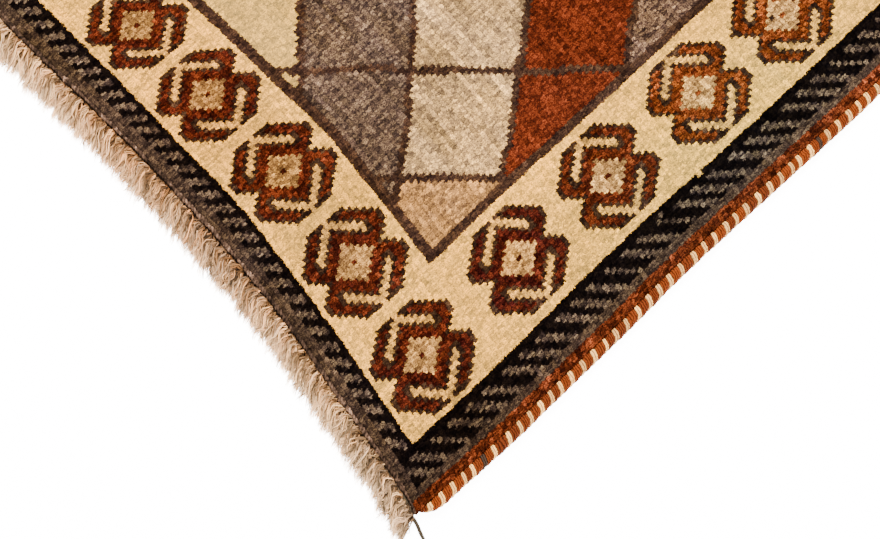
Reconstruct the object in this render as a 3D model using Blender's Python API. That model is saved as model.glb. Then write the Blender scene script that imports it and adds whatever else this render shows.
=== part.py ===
"""Hand-knotted gabbeh rug, lying flat on a floor.

Five solids: the knotted pile as one flat slab with bowed ends, an overcast
cord along each long side, and a fringe at each end whose locks are fused
into a narrow strip parted from the slab's end. Metres, +Z up, Y along the
rug. The corner in the photo is the one at +X, -Y.
"""

import math

import bmesh
import bpy

# The slab of pile
PILE_WIDTH = 0.7962
PILE_LENGTH = 1.1668
PILE_THICK = 0.009
WALL_HEIGHT = 0.0062
SHOULDER_HEIGHT = 0.0082
SHOULDER_INSET = 0.0009
TOP_INSET = 0.0026
SIDE_STEPS = 48

# How far each end runs past the slab's plain length, by the distance from
# the slab's +X side. The near end is read from the photo up to its middle.
NEAR_REACH = (
    # from_side, reach
    (0.0000, 0.0258),
    (0.0080, 0.0228),
    (0.0480, 0.0160),
    (0.0900, 0.0108),
    (0.1320, 0.0054),
    (0.1740, 0.0016),
    (0.2280, 0.0000),
    (0.2830, 0.0006),
    (0.3270, 0.0026),
    (0.3730, 0.0052),
    (0.4210, 0.0070),
    (0.4910, 0.0050),
    (0.5610, 0.0028),
    (0.6410, 0.0054),
    (0.7110, 0.0118),
    (0.7962, 0.0215),
)
FAR_REACH = (
    # from_side, reach
    (0.0000, 0.0180),
    (0.0700, 0.0120),
    (0.1500, 0.0052),
    (0.2500, 0.0016),
    (0.3500, 0.0036),
    (0.4500, 0.0058),
    (0.5500, 0.0032),
    (0.6400, 0.0060),
    (0.7200, 0.0126),
    (0.7962, 0.0200),
)

# How far each long side strays outward, by the distance from the near end.
SIDE_STRAY = (
    # along, right, left
    (0.00, 0.0006, -0.0008),
    (0.05, 0.0018, 0.0000),
    (0.10, 0.0012, 0.0008),
    (0.15, 0.0009, 0.0014),
    (0.19, -0.0006, 0.0016),
    (0.25, -0.0003, 0.0012),
    (0.30, 0.0006, 0.0006),
    (0.37, 0.0017, -0.0004),
    (0.46, 0.0008, -0.0014),
    (0.60, -0.0010, -0.0006),
    (0.75, -0.0014, 0.0010),
    (0.90, 0.0004, 0.0014),
    (1.04, 0.0010, 0.0002),
    (1.20, 0.0004, -0.0008),
)

# Every piece stands this far from the next
GAP = 0.0003

# The overcast cord of a long side
CORD_WIDTH = 0.0080
CORD_HEIGHT = 0.0080
CORD_FACETS = 12
CORD_SQUARENESS = 2.3
CORD_SHORT = 0.0040
CORD_STATIONS = 48
CORD_ENDS = (
    # inward, scale
    (0.0000, 0.45),
    (0.0012, 0.78),
    (0.0034, 0.95),
)

# The strip that carries a fringe, and its locks
STRIP_WIDTH = 0.0030
STRIP_HEIGHT = 0.0030
LOCKS = 150
LOCK_SHARE = 0.70
LOCK_RINGS = (
    # along, width, height, sway
    (0.36, 1.06, 0.0026, 1.0),
    (0.72, 0.92, 0.0022, -0.7),
    (1.00, 0.46, 0.0012, -1.5),
)
LOCK_LENGTH = 0.0225
LOCK_SWAY = 0.0011
SWAY_TURN = 0.37
LENGTH_WAVES = (
    # turn_per_lock, share
    (0.113, 0.075),
    (0.871, 0.065),
    (2.303, 0.055),
)
LEAN_WAVES = (
    # turn_per_lock, share
    (0.061, 0.070),
    (0.233, 0.035),
)
NEAR_LEAN = 0.34
FAR_LEAN = -0.12

# The loose thread at the photo's corner, from the strip's outer face:
# sideways past the slab's side, and outward from the strip.
THREAD = (
    # sideways, outward, half_width, height
    (0.0000, 0.0012, 0.00055, 0.0016),
    (0.0022, 0.0022, 0.00060, 0.0013),
    (0.0070, 0.0028, 0.00060, 0.0012),
    (0.0115, 0.0038, 0.00058, 0.0012),
    (0.0155, 0.0052, 0.00045, 0.0010),
)
THREAD_ROOT = 0.0011

WOOLS = {
    # colour, roughness
    "pile": ((0.62, 0.42, 0.24, 1.0), 0.95),
    "selvedge": ((0.30, 0.06, 0.01, 1.0), 0.90),
    "fringe": ((0.50, 0.38, 0.30, 1.0), 0.95),
}


def clear_scene():
    for thing in list(bpy.data.objects):
        bpy.data.objects.remove(thing, do_unlink=True)


def material(name):
    colour, rough = WOOLS[name]
    made = bpy.data.materials.new(name)
    made.use_nodes = True
    shader = made.node_tree.nodes["Principled BSDF"]
    shader.inputs["Base Color"].default_value = colour
    shader.inputs["Roughness"].default_value = rough
    return made


def solid(name, points, faces, looks):
    """One closed object from its points and faces, facing outward."""
    mesh = bpy.data.meshes.new(name)
    mesh.from_pydata(points, [], faces)
    body = bmesh.new()
    body.from_mesh(mesh)
    bmesh.ops.recalc_face_normals(body, faces=body.faces)
    bmesh.ops.triangulate(body, faces=body.faces)
    body.to_mesh(mesh)
    body.free()
    mesh.materials.append(looks)
    made = bpy.data.objects.new(name, mesh)
    bpy.context.collection.objects.link(made)
    return made


def smooth_table(table, at, column=1):
    """A table's column read between its rows along a smooth curve."""
    rows = [(row[0], row[column]) for row in table]
    last = len(rows) - 1
    if at <= rows[0][0]:
        return rows[0][1]
    if at >= rows[last][0]:
        return rows[last][1]
    k = max(i for i in range(last) if rows[i][0] <= at)

    def slope(i):
        low, high = rows[max(i - 1, 0)], rows[min(i + 1, last)]
        return (high[1] - low[1]) / (high[0] - low[0])

    span = rows[k + 1][0] - rows[k][0]
    t = (at - rows[k][0]) / span
    return (
        (2 * t**3 - 3 * t**2 + 1) * rows[k][1]
        + (t**3 - 2 * t**2 + t) * span * slope(k)
        + (3 * t**2 - 2 * t**3) * rows[k + 1][1]
        + (t**3 - t**2) * span * slope(k + 1)
    )


def side_x(y, hand):
    """Where the slab's long side is: hand +1 is the photo's side."""
    column = 1 if hand > 0 else 2
    stray = smooth_table(SIDE_STRAY, y + PILE_LENGTH / 2, column)
    return hand * (PILE_WIDTH / 2 + stray)


def end_y(share, hand):
    """Where an end is, by the share of the width: hand -1 is the near end."""
    table = NEAR_REACH if hand < 0 else FAR_REACH
    return hand * (PILE_LENGTH / 2 + smooth_table(table, share * PILE_WIDTH))


def end_point(share, hand):
    """A point of an end's edge, drawn in with the long sides' stray."""
    y = end_y(share, hand)
    right, left = side_x(y, 1), side_x(y, -1)
    return (right + (left - right) * share, y)


def outline():
    """The slab's outline, with the stations that the strips share."""
    shares = [k / LOCKS for k in range(LOCKS + 1)]
    near = [end_point(s, -1) for s in reversed(shares)]
    far = [end_point(s, 1) for s in shares]
    right = side_run(1)
    left = list(reversed(side_run(-1)))
    return near + right + far + left


def side_run(hand):
    """The points of a long side between its two corners."""
    share = 0 if hand > 0 else 1
    low, high = end_y(share, -1), end_y(share, 1)
    ys = [low + (high - low) * k / SIDE_STEPS for k in range(1, SIDE_STEPS)]
    return [(side_x(y, hand), y) for y in ys]


def inset(loop, by):
    """A closed outline moved inward by a distance."""
    moved = []
    count = len(loop)
    for k, (x, y) in enumerate(loop):
        before, after = loop[k - 1], loop[(k + 1) % count]
        a = (x - before[0], y - before[1])
        b = (after[0] - x, after[1] - y)
        la, lb = math.hypot(*a), math.hypot(*b)
        na, nb = (-a[1] / la, a[0] / la), (-b[1] / lb, b[0] / lb)
        nx, ny = na[0] + nb[0], na[1] + nb[1]
        size = (nx * nx + ny * ny) / 2
        moved.append((x + by * nx / size, y + by * ny / size))
    return moved


def make_pile(looks):
    loop = outline()
    rings = (
        # inset, height
        (0.0, 0.0),
        (0.0, WALL_HEIGHT),
        (SHOULDER_INSET, SHOULDER_HEIGHT),
        (TOP_INSET, PILE_THICK),
    )
    count = len(loop)
    points = []
    for by, height in rings:
        points += [(x, y, height) for x, y in inset(loop, by)]
    faces = [tuple(range(count)), tuple(range(3 * count, 4 * count))]
    for ring in range(len(rings) - 1):
        for k in range(count):
            a, b = ring * count + k, ring * count + (k + 1) % count
            faces.append((a, b, b + count, a + count))
    return solid("pile", points, faces, looks)


def cord_section(x, y, scale, hand):
    """A rounded section standing on the floor beside the slab's side."""
    ring = []
    for k in range(CORD_FACETS):
        turn = 2 * math.pi * (k + 0.5) / CORD_FACETS
        power = 2 / CORD_SQUARENESS
        c, s = math.cos(turn), math.sin(turn)
        across = math.copysign(abs(c) ** power, c) * CORD_WIDTH / 2
        up = math.copysign(abs(s) ** power, s) * CORD_HEIGHT / 2
        mid = hand * (GAP + CORD_WIDTH / 2)
        ring.append((x + mid + across * scale, y, (up + CORD_HEIGHT / 2) * scale))
    floor = min(p[2] for p in ring)
    return [(px, py, pz - floor) for px, py, pz in ring]


def make_cord(name, hand, looks):
    share = 0 if hand > 0 else 1
    low = end_y(share, -1) + CORD_SHORT
    high = end_y(share, 1) - CORD_SHORT
    stations = [(low + inward, scale) for inward, scale in CORD_ENDS]
    first = low + CORD_ENDS[-1][0]
    last = high - CORD_ENDS[-1][0]
    for k in range(1, CORD_STATIONS):
        stations.append((first + (last - first) * k / CORD_STATIONS, 1.0))
    stations += [(high - inward, scale) for inward, scale in reversed(CORD_ENDS)]
    points, faces = [], []
    for y, scale in stations:
        points += cord_section(side_x(y, hand), y, scale, hand)
    for s in range(len(stations) - 1):
        for k in range(CORD_FACETS):
            a = s * CORD_FACETS + k
            b = s * CORD_FACETS + (k + 1) % CORD_FACETS
            faces.append((a, b, b + CORD_FACETS, a + CORD_FACETS))
    faces.append(tuple(range(CORD_FACETS)))
    top = (len(stations) - 1) * CORD_FACETS
    faces.append(tuple(range(top, top + CORD_FACETS)))
    return solid(name, points, faces, looks)


def waves(table, lock):
    return sum(share * math.sin(turn * lock) for turn, share in table)


def lock_rings(lock, left, right, hand, lean):
    """A lock's rings of four points, from its root out to its tip."""
    length = LOCK_LENGTH * (1 + waves(LENGTH_WAVES, lock))
    tilt = lean + waves(LEAN_WAVES, lock)
    half = abs(right[0] - left[0]) / 2
    mid_x, mid_y = (left[0] + right[0]) / 2, (left[1] + right[1]) / 2
    rings = []
    for along, width, height, sway in LOCK_RINGS:
        out = length * along
        x = mid_x + tilt * out + sway * LOCK_SWAY * math.sin(SWAY_TURN * lock)
        y = mid_y + hand * out
        w = half * width
        rings.append(ring_of(x - w, y, x + w, y, height))
    return rings


def ring_of(x0, y0, x1, y1, height):
    return [(x0, y0, 0.0), (x0, y0, height), (x1, y1, height), (x1, y1, 0.0)]


def thread_rings(root, hand):
    """The loose thread's rings: out from the strip, then past the side."""
    path = [(root[0] + side, root[1] + hand * out) for side, out, _, _ in THREAD]
    rings = []
    for k, (_, _, half, height) in enumerate(THREAD):
        before = path[k - 1] if k else root
        after = path[min(k + 1, len(path) - 1)]
        dx, dy = after[0] - before[0], after[1] - before[1]
        size = math.hypot(dx, dy)
        nx, ny = half * dy / size, -half * dx / size
        if hand < 0:
            nx, ny = -nx, -ny
        x, y = path[k]
        rings.append(ring_of(x - nx, y - ny, x + nx, y + ny, height))
    return rings


def make_fringe(name, hand, lean, thread, looks):
    """A strip beside the slab's end, with its locks grown out of it."""
    points, faces = [], []
    edge = [end_point(k / LOCKS, hand) for k in range(LOCKS + 1)]
    stations, roots = [edge[0]], []
    for k in range(LOCKS):
        a, b = edge[k], edge[k + 1]
        share = LOCK_SHARE
        if thread and k == 0:
            share = THREAD_ROOT / math.dist(a, b)
        cuts = ((1 - share) / 2, (1 + share) / 2)
        roots.append(len(stations))
        stations += [tuple(a[i] + (b[i] - a[i]) * t for i in (0, 1)) for t in cuts]
    stations.append(edge[-1])
    # Each station has four points: inner foot, inner top, outer top and
    # outer foot.
    for x, y in stations:
        inner = y + hand * GAP / math.cos(math.atan(end_slope(x, hand)))
        outer = inner + hand * STRIP_WIDTH
        points += [(x, inner, 0.0), (x, inner, STRIP_HEIGHT)]
        points += [(x, outer, STRIP_HEIGHT), (x, outer, 0.0)]
    for s in range(len(stations) - 1):
        for k in range(4):
            if k == 2 and s in roots:
                continue
            a, b = 4 * s + k, 4 * s + (k + 1) % 4
            faces.append((a, b, b + 4, a + 4))
    end = 4 * (len(stations) - 1)
    faces += [(0, 1, 2, 3), (end, end + 1, end + 2, end + 3)]
    for lock, s in enumerate(roots):
        # The lower x comes first, because a ring runs that way round
        low, high = sorted((s, s + 1), key=lambda i: points[4 * i][0])
        root = [4 * low + 3, 4 * low + 2, 4 * high + 2, 4 * high + 3]
        left, right = points[root[0]], points[root[2]]
        if thread and lock == 0:
            middle = ((left[0] + right[0]) / 2, (left[1] + right[1]) / 2)
            rings = thread_rings(middle, hand)
        else:
            rings = lock_rings(lock, left, right, hand, lean)
        for ring in rings:
            base = len(points)
            points += ring
            new = [base, base + 1, base + 2, base + 3]
            for k in range(4):
                j = (k + 1) % 4
                faces.append((root[k], root[j], new[j], new[k]))
            root = new
        faces.append(tuple(root))
    return solid(name, points, faces, looks)


def end_slope(x, hand):
    """How steeply an end's edge runs there, from its own shared stations."""
    share = min(max((PILE_WIDTH / 2 - x) / PILE_WIDTH, 0.0), 1.0)
    k = min(int(share * LOCKS), LOCKS - 1)
    a, b = end_point(k / LOCKS, hand), end_point((k + 1) / LOCKS, hand)
    return (b[1] - a[1]) / (b[0] - a[0])


def centre(things):
    """Puts the middle of the whole rug's box over the origin."""
    xs = [v.co.x for t in things for v in t.data.vertices]
    ys = [v.co.y for t in things for v in t.data.vertices]
    dx, dy = (min(xs) + max(xs)) / 2, (min(ys) + max(ys)) / 2
    print("moved by", round(-dx, 7), round(-dy, 7))
    for thing in things:
        for v in thing.data.vertices:
            v.co.x -= dx
            v.co.y -= dy


def main():
    clear_scene()
    pile, selvedge, fringe = (material(name) for name in WOOLS)
    made = [
        make_pile(pile),
        make_cord("selvedge_right", 1, selvedge),
        make_cord("selvedge_left", -1, selvedge),
        make_fringe("fringe_near", -1, NEAR_LEAN, True, fringe),
        make_fringe("fringe_far", 1, FAR_LEAN, False, fringe),
    ]
    centre(made)


main()
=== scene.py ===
"""A hand-knotted gabbeh rug lying flat: its knotted pile and woven back, the
overcast cord along each long side, the woven end and the twined line beside
each fringe, the fringes of matted and loose wool, and the thread left hanging
at the photo's corner."""

import bpy
import numpy as np
from mathutils import Matrix, Vector


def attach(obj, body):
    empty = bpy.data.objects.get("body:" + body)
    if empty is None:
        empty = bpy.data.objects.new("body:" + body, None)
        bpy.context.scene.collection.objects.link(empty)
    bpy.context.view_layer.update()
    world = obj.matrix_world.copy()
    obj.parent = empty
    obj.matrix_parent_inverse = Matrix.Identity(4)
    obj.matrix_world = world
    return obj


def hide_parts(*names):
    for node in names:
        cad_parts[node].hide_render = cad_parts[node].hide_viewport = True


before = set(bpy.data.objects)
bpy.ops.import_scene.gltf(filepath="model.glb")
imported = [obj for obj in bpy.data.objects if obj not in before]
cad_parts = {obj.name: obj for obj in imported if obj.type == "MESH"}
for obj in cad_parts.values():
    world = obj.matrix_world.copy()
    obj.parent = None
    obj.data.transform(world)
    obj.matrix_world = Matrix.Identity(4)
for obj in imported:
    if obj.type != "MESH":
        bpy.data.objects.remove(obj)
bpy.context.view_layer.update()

# The solids' own sizes, in metres
PILE_WIDTH = 0.7962
PILE_LENGTH = 1.1668
PILE_THICK = 0.009
CORD_WIDTH = 0.0080
CORD_HEIGHT = 0.0080
GAP = 0.0003
# Where the loose wool starts, outward from the pile's end
FURROW = GAP + 0.0022
# The solids were moved this far to stand over the origin
MOVED = (-0.0019051, 0.0028156)

# Ends and sides: distance from the +X side and outward reach
NEAR_REACH = (
    (0.0000, 0.0258),
    (0.0080, 0.0228),
    (0.0480, 0.0160),
    (0.0900, 0.0108),
    (0.1320, 0.0054),
    (0.1740, 0.0016),
    (0.2280, 0.0000),
    (0.2830, 0.0006),
    (0.3270, 0.0026),
    (0.3730, 0.0052),
    (0.4210, 0.0070),
    (0.4910, 0.0050),
    (0.5610, 0.0028),
    (0.6410, 0.0054),
    (0.7110, 0.0118),
    (0.7962, 0.0215),
)
FAR_REACH = (
    (0.0000, 0.0180),
    (0.0700, 0.0120),
    (0.1500, 0.0052),
    (0.2500, 0.0016),
    (0.3500, 0.0036),
    (0.4500, 0.0058),
    (0.5500, 0.0032),
    (0.6400, 0.0060),
    (0.7200, 0.0126),
    (0.7962, 0.0200),
)
# Distance along the side, then how far the +X and the -X side stray outward
SIDE_STRAY = (
    (0.00, 0.0006, -0.0008),
    (0.05, 0.0018, 0.0000),
    (0.10, 0.0012, 0.0008),
    (0.15, 0.0009, 0.0014),
    (0.19, -0.0006, 0.0016),
    (0.25, -0.0003, 0.0012),
    (0.30, 0.0006, 0.0006),
    (0.37, 0.0017, -0.0004),
    (0.46, 0.0008, -0.0014),
    (0.60, -0.0010, -0.0006),
    (0.75, -0.0014, 0.0010),
    (0.90, 0.0004, 0.0014),
    (1.04, 0.0010, 0.0002),
    (1.20, 0.0004, -0.0008),
)

# The weave: knots across, rows along, and the bands counted from an edge
KNOTS = 264
ROWS = 329
SIDE_BANDS = {"rust": 2, "grey": 4, "teeth": 10, "black": 12, "cream": 37, "line": 39}
END_BANDS = {"grey": 2, "teeth": 5, "black": 6, "cream": 27, "line": 29}
# Where a column lies, from the +X side in metres, and a row, from the near end
COLUMN_AT = (
    (0, 0.0),
    (2, 0.0069),
    (4, 0.0122),
    (12, 0.0349),
    (37, 0.1104),
    (39, 0.1166),
    (47.5, 0.1425),
    (71.5, 0.2164),
    (95.5, 0.2883),
    (119.5, 0.3549),
    (132, 0.3905),
    (225, 0.6796),
    (227, 0.6858),
    (252, 0.7613),
    (260, 0.7840),
    (262, 0.7893),
    (264, 0.7962),
)
ROW_AT = (
    (0, 0.0),
    (6, 0.0212),
    (16.5, 0.0577),
    (29, 0.10285),
    (40.5, 0.14495),
    (63.5, 0.22030),
    (86.5, 0.29860),
    (108.5, 0.37810),
    (300, 1.06300),
    (323, 1.14560),
    (329, 1.16680),
)
# How far the cream edge and the field's line wander inward from the +X side
LINE_DRIFT = (
    # row, cream_edge, field_line
    (0, -0.0030, -0.0020),
    (21, -0.0030, -0.0024),
    (31, -0.0022, -0.0022),
    (43, -0.0004, -0.0004),
    (55, 0.0006, 0.0000),
    (72, 0.0004, 0.0006),
    (80, -0.0004, 0.0010),
    (98, -0.0006, 0.0020),
    (120, 0.0000, 0.0012),
    (160, 0.0000, 0.0000),
)

# How far the cream edge and the field's line wander outward along the end
END_DRIFT = (
    # across, cream_edge, field_line
    (0.030, -0.0026, -0.0010),
    (0.061, -0.0022, -0.0014),
    (0.085, -0.0018, -0.0018),
    (0.109, -0.0013, -0.0020),
    (0.133, -0.0018, -0.0022),
    (0.165, -0.0013, -0.0021),
    (0.181, -0.0008, -0.0021),
    (0.193, 0.0003, -0.0012),
    (0.217, 0.0010, -0.0004),
    (0.241, 0.0006, -0.0015),
    (0.265, 0.0000, -0.0026),
    (0.289, 0.0002, -0.0029),
    (0.313, 0.0008, -0.0033),
    (0.337, 0.0015, -0.0036),
    (0.373, 0.0020, -0.0030),
    (0.397, 0.0024, -0.0024),
    (0.480, 0.0000, -0.0020),
)

# The rosette, charted: D dark outline, R rust, B beige centre, H pale
# hook, dot ground
ROSETTE = (
    ".....DDD.....DDD.....",
    "....DRRRD...DRRRD....",
    "...DRRRRRD.DRRRRRD...",
    "..DRRDDDRRDRRDDDRRD..",
    ".DRRDHHDRRRRRDHHDRRD.",
    "DRRDHHDRRRBRRRDHHDRRD",
    "DRDHHDRRRBBBRRRDHHDRD",
    "DDHHDRRRBBBBBRRRDHHDD",
    "DHHDRRRBBBBBBBRRRDHHD",
    "HHDRRRBBBBRBBBBRRRDHH",
    "DHHDRRRBBBBBBBRRRDHHD",
    "DDHHDRRRBBBBBRRRDHHDD",
    "DRDHHDRRRBBBRRRDHHDRD",
    "DRRDHHDRRRBRRRDHHDRRD",
    ".DRRDHHDRRRRRDHHDRRD.",
    "..DRRDDDRRDRRDDDRRD..",
    "...DRRRRRD.DRRRRRD...",
    "....DRRRD...DRRRD....",
    "....DRRRD...DRRRD....",
    ".....DDD.....DDD.....",
)
# Where rosettes start, by row along the sides and by column and row along
# the ends; the rows left out of the chart; how orange they are, and how much
# paler their centres
SIDE_ROSETTES = (
    # row, dropped, orange, pale
    (31, 1, -0.45, 0.38),
    (54, 1, 0.30, 0.42),
    (77, 1, 0.95, 0.22),
    (99, 1, 0.95, 0.40),
    (122, 0, 0.60, 0.15),
    (145, 1, 0.30, 0.00),
    (167, 0, 0.05, 0.10),
    (190, 0, -0.05, 0.20),
    (213, 1, 0.25, 0.05),
    (235, 0, 0.55, 0.15),
    (258, 0, 0.30, 0.00),
    (280, 0, 0.10, 0.10),
)
END_ROSETTES = (
    # column, row, dropped, orange, pale
    (13, 7, 1, -0.15, 0.22),
    (37, 7, 1, 0.00, 0.07),
    (61, 7, 1, 0.15, -0.05),
    (85, 7, 1, 0.00, 0.00),
    (109, 7, 1, 0.00, -0.16),
    (133, 7, 0, 0.15, -0.10),
    (157, 7, 1, 0.10, 0.10),
    (182, 6, 0, 0.00, 0.00),
    (206, 7, 1, 0.15, -0.20),
    (230, 7, 0, 0.05, 0.10),
)
# Single knots tied in the wrong wool
SLIPS = (
    # row, column, wool
    (98, 28, "outline"),
    (106, 25, "outline"),
    (76, 11, "cream"),
    (66, 10, "tooth"),
)

# Where the yarn's dye came out lighter (or darker, below 0), and cooler
DYES = (
    # row, column, tall, wide, lighter, cooler
    (54, 43, 9, 9, 0.34, 0.0),
    (45, 84, 12, 10, 0.40, 0.0),
    (36, 67, 10, 10, -0.14, 0.0),
    (64, 69, 10, 9, 0.20, 0.0),
    (16, 58, 9, 7, -0.32, 0.0),
    (16, 84, 9, 12, -0.22, 0.0),
    (86, 14, 34, 16, -0.05, 0.9),
    (104, 1, 22, 3, 0.26, 0.0),
    (8, 7, 24, 8, -0.30, 0.0),
    (16, 23, 9, 9, -0.12, 0.0),
    (12, 96, 16, 26, -0.02, -0.35),
    (88, 24, 14, 12, 0.10, 0.0),
)

# Wool colours as they look in the picture, and how much one knot, and one
# streak along a row, strays from its wool: shares of its brightness
WOOLS = {
    # name: (colour, knot, streak, contrast of its tufts' painted shade and tone)
    "rust_edge": ((130, 56, 34), 0.22, 0.24, 1.75),
    "grey": ((100, 74, 57), 0.16, 0.16, 1.45),
    "tooth": ((116, 90, 71), 0.22, 0.12, 1.75),
    "black": ((22, 14, 11), 0.14, 0.14, 1.10),
    "cream": ((227, 201, 159), 0.05, 0.06, 0.72),
    "line": ((92, 60, 44), 0.18, 0.18, 1.25),
    "outline": ((80, 51, 35), 0.22, 0.16, 1.45),
    "rust_dark": ((113, 44, 28), 0.22, 0.12, 1.75),
    "rust_orange": ((160, 76, 41), 0.14, 0.14, 1.45),
    "centre": ((198, 163, 119), 0.17, 0.12, 1.35),
    "tan": ((200, 165, 124), 0.14, 0.30, 1.10),
    "beige": ((205, 182, 151), 0.12, 0.30, 1.15),
    "taupe": ((156, 122, 97), 0.18, 0.28, 1.75),
    "brown": ((129, 99, 79), 0.18, 0.24, 1.60),
    "pale": ((216, 193, 152), 0.06, 0.10, 0.62),
    "field_rust": ((140, 58, 36), 0.12, 0.18, 1.30),
    # Painted shade: a darker cream for the hooks, which lie among dark knots
    "shaded_hook": ((219, 190, 147), 0.10, 0.06, 1.00),
}
NAMES = list(WOOLS)
INDEX = {name: k for k, name in enumerate(NAMES)}
FIELD_ORDER = ("beige", "brown", "pale", "taupe", "field_rust")
# The fringe's wool, and the near white of the painted light on its tips
TAN, MAUVE, IVORY, LIT_TIPS = (225, 185, 146), (184, 152, 130), (240, 226, 208), (243, 235, 225)

# How the picture's view turns light into colour: its wide primaries, the
# mixing that softens strong colours before its curve, and after it
WIDE = ((0.6274, 0.3293, 0.0433), (0.0691, 0.9195, 0.0114), (0.0164, 0.0880, 0.8956))
SOFTEN = ((0.8566, 0.0951, 0.0483), (0.1373, 0.7612, 0.1015), (0.1119, 0.0768, 0.8113))
SHARPEN = ((1.1271, -0.1106, -0.0165), (-0.1413, 1.1578, -0.0165), (-0.1413, -0.1106, 1.2519))
# Its range in doublings of light, and the lowest of them
DOUBLINGS, LOWEST = 16.5, -12.474
MIDDLE_IN, MIDDLE_OUT, STEEPNESS, BEND = 10 / DOUBLINGS, 0.18 ** (1 / 2.4), 2.4, 1.5
# How much light falls on the rug, and the least that its darkest wool gives
LIGHT = 4.4
DARKEST = 0.0045


def wool_light(colour):
    """The light that the view shows as a colour from 0 to 255: its s-shaped
    curve undone on each softened primary, and the mixing undone about it."""

    def reach(run, rise):
        """How far the curve would go on one side of its middle, past its end."""
        return (run**-BEND * ((run / rise) ** BEND - 1)) ** (-1 / BEND)

    c = np.asarray(colour, float) / 255
    c = np.where(c <= 0.04045, c / 12.92, ((c + 0.055) / 1.055) ** 2.4)
    c = (c @ np.transpose(WIDE)) ** (1 / 2.4) @ np.linalg.inv(SHARPEN).T
    away = c - MIDDLE_OUT
    upper = reach(STEEPNESS * (1 - MIDDLE_IN), 1 - MIDDLE_OUT)
    lower = reach(STEEPNESS * MIDDLE_IN, MIDDLE_OUT)
    limit = np.where(away > 0, upper, lower)
    share = np.minimum(np.abs(away) / limit, 0.9999)
    run = np.sign(away) * limit * share / (1 - share**BEND) ** (1 / BEND) / STEEPNESS
    light = 2 ** ((MIDDLE_IN + run) * DOUBLINGS + LOWEST)
    light = light @ np.linalg.inv(SOFTEN).T @ np.linalg.inv(WIDE).T
    return np.maximum(light, DARKEST) / LIGHT


def limited(colour):
    """Colours scaled down, each in its own hue, where a part would pass 0.9,
    and no part left quite black."""
    return np.maximum(colour / np.maximum(1, colour.max(-1, keepdims=True) / 0.9), 0.0008)


def read(table, at, column=1):
    """A table read smoothly: cubic pieces through its rows, each row's slope
    being that of the chord between its neighbours."""
    rows = np.array(table, float)
    x, y = rows[:, 0], rows[:, column]
    slope = np.gradient(y)
    slope[1:-1] = (y[2:] - y[:-2]) / (x[2:] - x[:-2])
    slope[0] = (y[1] - y[0]) / (x[1] - x[0])
    slope[-1] = (y[-1] - y[-2]) / (x[-1] - x[-2])
    at = np.clip(at, x[0], x[-1])
    k = np.clip(np.searchsorted(x, at, side="right") - 1, 0, len(x) - 2)
    span = x[k + 1] - x[k]
    t = (at - x[k]) / span
    return (
        (2 * t**3 - 3 * t**2 + 1) * y[k]
        + (t**3 - 2 * t**2 + t) * span * slope[k]
        + (3 * t**2 - 2 * t**3) * y[k + 1]
        + (t**3 - t**2) * span * slope[k + 1]
    )


def ease(low, high, at):
    """0 below low and 1 above high, with 3t^2 - 2t^3 between."""
    t = np.clip((at - low) / (high - low), 0, 1)
    return t * t * (3 - 2 * t)


def side_line(y, hand):
    """X of a long side at y, in the solids' own place; hand 1 is +X."""
    stray = read(SIDE_STRAY, y + PILE_LENGTH / 2, 1 if hand > 0 else 2)
    return hand * (PILE_WIDTH / 2 + stray)


def place(column, row):
    """Where a knot's corner lies on the floor plan: the row's distance along
    the rug less the near end's reach and plus the far end's, each fading
    inward, and across by the column's share between the two sides."""
    columns, rows = np.array(COLUMN_AT), np.array(ROW_AT)
    across = np.interp(column, columns[:, 0], columns[:, 1])
    along = np.interp(row, rows[:, 0], rows[:, 1])
    near = read(NEAR_REACH, across) * (1 - ease(40, 105, row))
    far = read(FAR_REACH, across) * ease(ROWS - 105, ROWS - 40, row)
    y = along - PILE_LENGTH / 2 - near + far
    right = (side_line(y, 1) - PILE_WIDTH / 2) * (1 - ease(4, 12, column))
    left = (side_line(y, -1) + PILE_WIDTH / 2) * ease(KNOTS - 12, KNOTS - 4, column)
    x = PILE_WIDTH / 2 - across + right + left
    cream = read(LINE_DRIFT, row, 1) * np.interp(column, (0, 12, 20), (0, 1, 0))
    line = read(LINE_DRIFT, row, 2) * np.interp(column, (12, 37, 70), (0, 1, 0))
    y = y + read(END_DRIFT, across, 1) * np.interp(row, (0, 6, 27), (0, 1, 0))
    y = y + read(END_DRIFT, across, 2) * np.interp(row, (6, 27, 60), (0, 1, 0))
    return x - cream - line + MOVED[0], y + MOVED[1]


def end_edge(across, hand):
    """An end's edge, by distance from the +X side; hand -1 is the near end."""
    reach = read(NEAR_REACH if hand < 0 else FAR_REACH, across)
    y = hand * (PILE_LENGTH / 2 + reach)
    right, left = side_line(y, 1), side_line(y, -1)
    x = right + (left - right) * across / PILE_WIDTH
    return x + MOVED[0], y + MOVED[1]


# The design


def chart():
    """The rosette's chart as an array of wool indexes, its first row lowest."""
    letters = {
        ".": -1,
        "D": INDEX["outline"],
        "R": INDEX["rust_dark"],
        "B": INDEX["centre"],
        "H": INDEX["shaded_hook"],
    }
    return np.array([[letters[c] for c in line] for line in reversed(ROSETTE)])


def stamp(plan, dye, row, column, drop, warmth, pale):
    """Puts a rosette on the plan, less a row where the weaver left one out,
    and its own dyes beside it."""
    shape = chart()
    if drop:
        shape = np.delete(shape, 1, axis=0)
    high, wide = shape.shape
    part = plan[row : row + high, column : column + wide]
    part[shape >= 0] = shape[shape >= 0]
    own = dye[row : row + high, column : column + wide]
    own[...] = np.where(shape == INDEX["centre"], pale, warmth)


# The field's crossings: at which column each half lozenge ends, and the row
# of the first
CROSSINGS = ((0, -2.55), (39.2, 0), (54.2, 1), (70.1, 2), (85.8, 3), (106.6, 4), (264, 14.2))
FIRST_ROW = 46.8


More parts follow.
